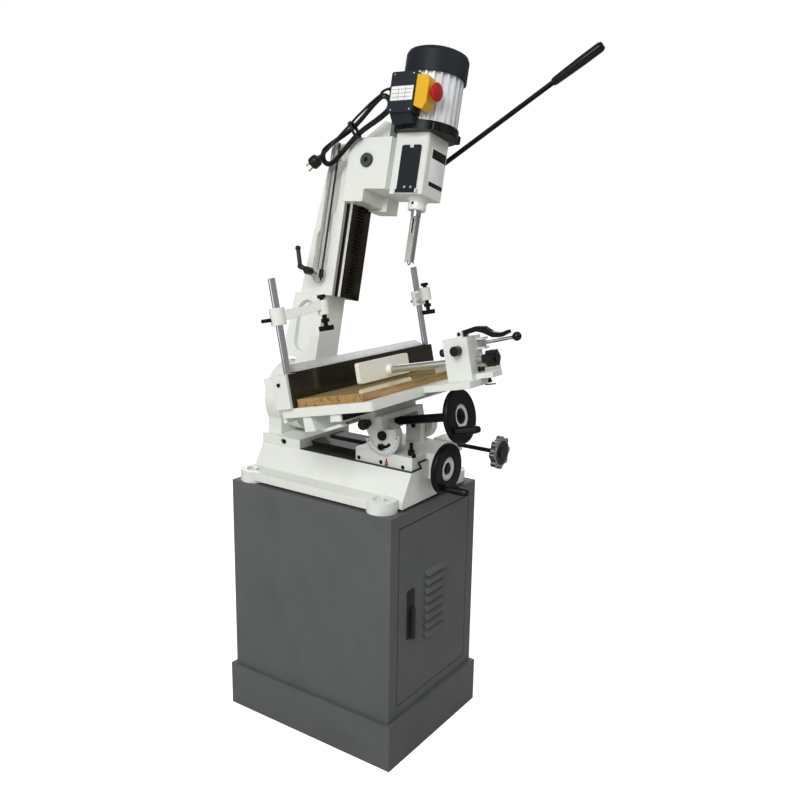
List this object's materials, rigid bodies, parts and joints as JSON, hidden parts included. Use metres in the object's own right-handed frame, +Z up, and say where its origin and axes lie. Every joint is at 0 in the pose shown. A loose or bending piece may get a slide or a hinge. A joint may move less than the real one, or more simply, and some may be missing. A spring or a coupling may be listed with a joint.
{
  "type": "hollow-chisel mortiser",
  "caption": "Floor-standing hollow-chisel mortiser with tilting column and table, vertical motor, feed lever, vise, hold-downs and louvred steel cabinet.",
  "frame": {"origin": "on the floor under the middle of the cabinet", "axes": "+X to the operator's right, -Y to the front, +Z up; drawn with the column leaning to the right and the table's front edge tilted up"},
  "size_m": [0.7317, 0.8404, 1.9052],
  "materials": {
    "cast_paint": "satin",
    "cabinet_paint": "satin",
    "black_paint": "satin",
    "bright_steel": "ground",
    "dark_steel": "ground and oiled",
    "chromed": "polished",
    "motor_alloy": "silver painted",
    "scale_alloy": "satin",
    "black_plastic": "moulded",
    "yellow_plastic": "moulded",
    "red_plastic": "moulded",
    "cord_rubber": "matt",
    "board_wood": "varnished"
  },
  "bodies": {
    "frame": {"plinth": "cabinet_paint", "cabinet_shell": "cabinet_paint", "base_casting": "cast_paint", "frame_bolts": "black_paint", "pedestal": "cast_paint"},
    "door": {"cabinet_door": "cabinet_paint"},
    "door_lock": {"lock_handle": "black_paint"},
    "cross_carriage": {"saddle": "cast_paint", "pivot_studs": "black_paint"},
    "cross_wheel": {"cross_screw": "bright_steel", "cross_handwheel": "black_paint"},
    "cross_grip": {"cross_crank": "black_plastic"},
    "slide_lock": {"slide_lock_knob": "black_paint"},
    "saddle_lock": {"saddle_lock_lever": "black_paint"},
    "tilt_bracket": {"trunnion": "cast_paint", "tilt_scale": "scale_alloy"},
    "feed_wheel": {"feed_shaft": "black_paint", "feed_handwheel": "black_paint"},
    "feed_grip": {"feed_crank": "black_plastic"},
    "work_table": {"table": "cast_paint", "table_rack": "bright_steel", "table_board": "board_wood", "fence_casting": "cast_paint", "fence_face": "dark_steel", "vise_block": "cast_paint"},
    "post_left": {"left_post": "chromed"},
    "post_right": {"right_post": "chromed"},
    "arm_left": {"left_arm": "cast_paint"},
    "arm_right": {"right_arm": "cast_paint"},
    "foot_left": {"left_foot_screw": "black_paint"},
    "foot_right": {"right_foot_screw": "black_paint"},
    "lock_left": {"left_arm_lock": "black_paint"},
    "lock_right": {"right_arm_lock": "black_paint"},
    "jaw": {"vise_jaw": "cast_paint"},
    "cam": {"vise_cam_handle": "black_paint"},
    "ball_lever": {"vise_ball_lever": "chromed"},
    "lobed_knob": {"vise_lobed_knob": "black_plastic"},
    "side_knob": {"vise_side_knob": "black_plastic"},
    "tilt_column": {"column": "cast_paint", "column_way": "dark_steel", "stop_bar": "bright_steel"},
    "stop": {"stop_block": "black_paint"},
    "stop_clamp": {"stop_lever": "black_paint"},
    "tool_head": {"head": "cast_paint", "chisel": "bright_steel", "motor_flange": "black_paint", "motor_body": "motor_alloy", "fan_cowl": "black_paint", "switch_box": "black_plastic", "switch_housing": "yellow_plastic", "cord_gland": "cord_rubber", "cord_hank": "cord_rubber", "cord_plug": "cord_rubber"},
    "feed_pinion": {"pinion_shaft": "dark_steel"},
    "lever": {"feed_lever": "black_paint", "lever_grip": "black_plastic"},
    "cover": {"access_cover": "black_paint"},
    "spindle": {"auger": "bright_steel", "motor_rotor": "dark_steel"},
    "button": {"stop_button": "red_plastic"}
  },
  "joints": [
    {"name": "door_swing", "type": "hinge", "parent": "frame", "child": "door", "pos_m": [0.1675, -0.2735, 0.419], "axis": [0, 0, 1], "range_deg": [0, 105]},
    {"name": "lock_turn", "type": "hinge", "parent": "door", "child": "door_lock", "pos_m": [-0.116, -0.28, 0.412], "axis": [0, -1, 0], "range_deg": [0, 90]},
    {"name": "cross_slide", "type": "slide", "parent": "frame", "child": "cross_carriage", "axis": [0, 1, 0], "range_m": [-0.08, 0]},
    {"name": "cross_turn", "type": "hinge", "parent": "cross_carriage", "child": "cross_wheel", "pos_m": [0, -0.309, 0.798], "axis": [0, 1, 0], "range_deg": [-5761, 1]},
    {"name": "cross_grip_spin", "type": "hinge", "parent": "cross_wheel", "child": "cross_grip", "pos_m": [-0.02279, -0.35, 0.75126], "axis": [0, 1, 0], "continuous": true},
    {"name": "slide_lock_turn", "type": "hinge", "parent": "cross_carriage", "child": "slide_lock", "pos_m": [0.136, -0.3, 0.828], "axis": [0, 1, 0], "range_deg": [-360, 360]},
    {"name": "saddle_lock_turn", "type": "hinge", "parent": "cross_carriage", "child": "saddle_lock", "pos_m": [-0.078, -0.247, 0.842], "axis": [0, 0, 1], "range_deg": [-25, 40]},
    {"name": "table_tilt", "type": "hinge", "parent": "cross_carriage", "child": "tilt_bracket", "pos_m": [0, -0.17, 0.888], "axis": [-1, 0, 0], "range_deg": [-12, 13]},
    {"name": "table_slide", "type": "slide", "parent": "tilt_bracket", "child": "work_table", "axis": [1, 0, 0], "range_m": [-0.12566, 0.12566]},
    {"name": "feed_turn", "type": "hinge", "parent": "tilt_bracket", "child": "feed_wheel", "pos_m": [0, -0.34541, 0.94778], "axis": [0, 0.9781, -0.2079], "range_deg": [-361, 361]},
    {"name": "feed_grip_spin", "type": "hinge", "parent": "feed_wheel", "child": "feed_grip", "pos_m": [-0.04749, -0.3907, 0.92706], "axis": [0, 0.9781, -0.2079], "continuous": true},
    {"name": "left_post_turn", "type": "hinge", "parent": "work_table", "child": "post_left", "pos_m": [-0.279, 0.02345, 1.15358], "axis": [0, 0.2079, 0.9781], "range_deg": [-30, 20]},
    {"name": "left_arm_slide", "type": "slide", "parent": "post_left", "child": "arm_left", "axis": [0, 0.2079, 0.9781], "range_m": [-0.1, 0.05]},
    {"name": "left_foot_feed", "type": "slide", "parent": "arm_left", "child": "foot_left", "axis": [0, 0.2079, 0.9781], "range_m": [-0.004, 0.009]},
    {"name": "left_lock_turn", "type": "hinge", "parent": "arm_left", "child": "lock_left", "pos_m": [-0.30573, 0.04612, 1.19477], "axis": [0.891, -0.4441, 0.0944], "range_deg": [-90, 90]},
    {"name": "right_post_turn", "type": "hinge", "parent": "work_table", "child": "post_right", "pos_m": [0.367, 0.02345, 1.15358], "axis": [0, 0.2079, 0.9781], "range_deg": [-20, 30]},
    {"name": "right_arm_slide", "type": "slide", "parent": "post_right", "child": "arm_right", "axis": [0, 0.2079, 0.9781], "range_m": [-0.1, 0.05]},
    {"name": "right_foot_feed", "type": "slide", "parent": "arm_right", "child": "foot_right", "axis": [0, 0.2079, 0.9781], "range_m": [-0.004, 0.009]},
    {"name": "right_lock_turn", "type": "hinge", "parent": "arm_right", "child": "lock_right", "pos_m": [0.38821, 0.05355, 1.19319], "axis": [-0.7071, -0.6917, 0.147], "range_deg": [-90, 90]},
    {"name": "jaw_slide", "type": "slide", "parent": "work_table", "child": "jaw", "axis": [0, 0.9781, -0.2079], "range_m": [-0.1, 0.014]},
    {"name": "knob_turn", "type": "hinge", "parent": "jaw", "child": "lobed_knob", "pos_m": [0.022, -0.40999, 1.10565], "axis": [0, 0.9781, -0.2079], "range_deg": [-360, 360]},
    {"name": "cam_lift", "type": "hinge", "parent": "work_table", "child": "cam", "pos_m": [0.022, -0.33263, 1.16179], "axis": [-1, 0, 0], "range_deg": [0, 70]},
    {"name": "ball_lever_swing", "type": "hinge", "parent": "work_table", "child": "ball_lever", "pos_m": [0.041, -0.38211, 1.14062], "axis": [0, 0.2079, 0.9781], "range_deg": [0, 40]},
    {"name": "side_knob_turn", "type": "hinge", "parent": "work_table", "child": "side_knob", "pos_m": [-0.027, -0.34388, 1.12329], "axis": [1, 0, 0], "range_deg": [-180, 180]},
    {"name": "column_tilt", "type": "hinge", "parent": "frame", "child": "tilt_column", "pos_m": [0, 0.2, 0.93], "axis": [0, 1, 0], "range_deg": [-43, 17]},
    {"name": "stop_slide", "type": "slide", "parent": "tilt_column", "child": "stop", "axis": [0.225, 0, 0.9744], "range_m": [0, 0.03]},
    {"name": "stop_lever_turn", "type": "hinge", "parent": "stop", "child": "stop_clamp", "pos_m": [0.00236, 0.15, 1.29585], "axis": [0.9744, 0, -0.225], "range_deg": [0, 60]},
    {"name": "head_slide", "type": "slide", "parent": "tilt_column", "child": "tool_head", "axis": [0.225, 0, 0.9744], "range_m": [-0.16, 0]},
    {"name": "pinion_turn", "type": "hinge", "parent": "tool_head", "child": "feed_pinion", "pos_m": [0.15229, 0.022, 1.58965], "axis": [0.9744, 0, -0.225], "range_deg": [-0.5, 191.5]},
    {"name": "lever_swing", "type": "hinge", "parent": "tool_head", "child": "lever", "pos_m": [0.2546, 0.022, 1.56603], "axis": [0.9744, 0, -0.225], "range_deg": [-40, 66]},
    {"name": "cover_swing", "type": "hinge", "parent": "tool_head", "child": "cover", "pos_m": [0.07827, -0.107, 1.52463], "axis": [0, -1, 0], "range_deg": [0, 100]},
    {"name": "spindle_spin", "type": "hinge", "parent": "tool_head", "child": "spindle", "pos_m": [0.17996, -0.114, 1.7095], "axis": [0.225, 0, 0.9744], "continuous": true},
    {"name": "button_press", "type": "slide", "parent": "tool_head", "child": "button", "axis": [0, 1, 0], "range_m": [0, 0.004], "stiffness_N_per_m": 900}
  ],
  "couplings": [
    {"joint": "cross_turn", "follows": "cross_slide", "rad_per_m": 1256.6},
    {"joint": "feed_turn", "follows": "table_slide", "rad_per_m": 50},
    {"joint": "pinion_turn", "follows": "head_slide", "rad_per_m": -20.833}
  ]
}
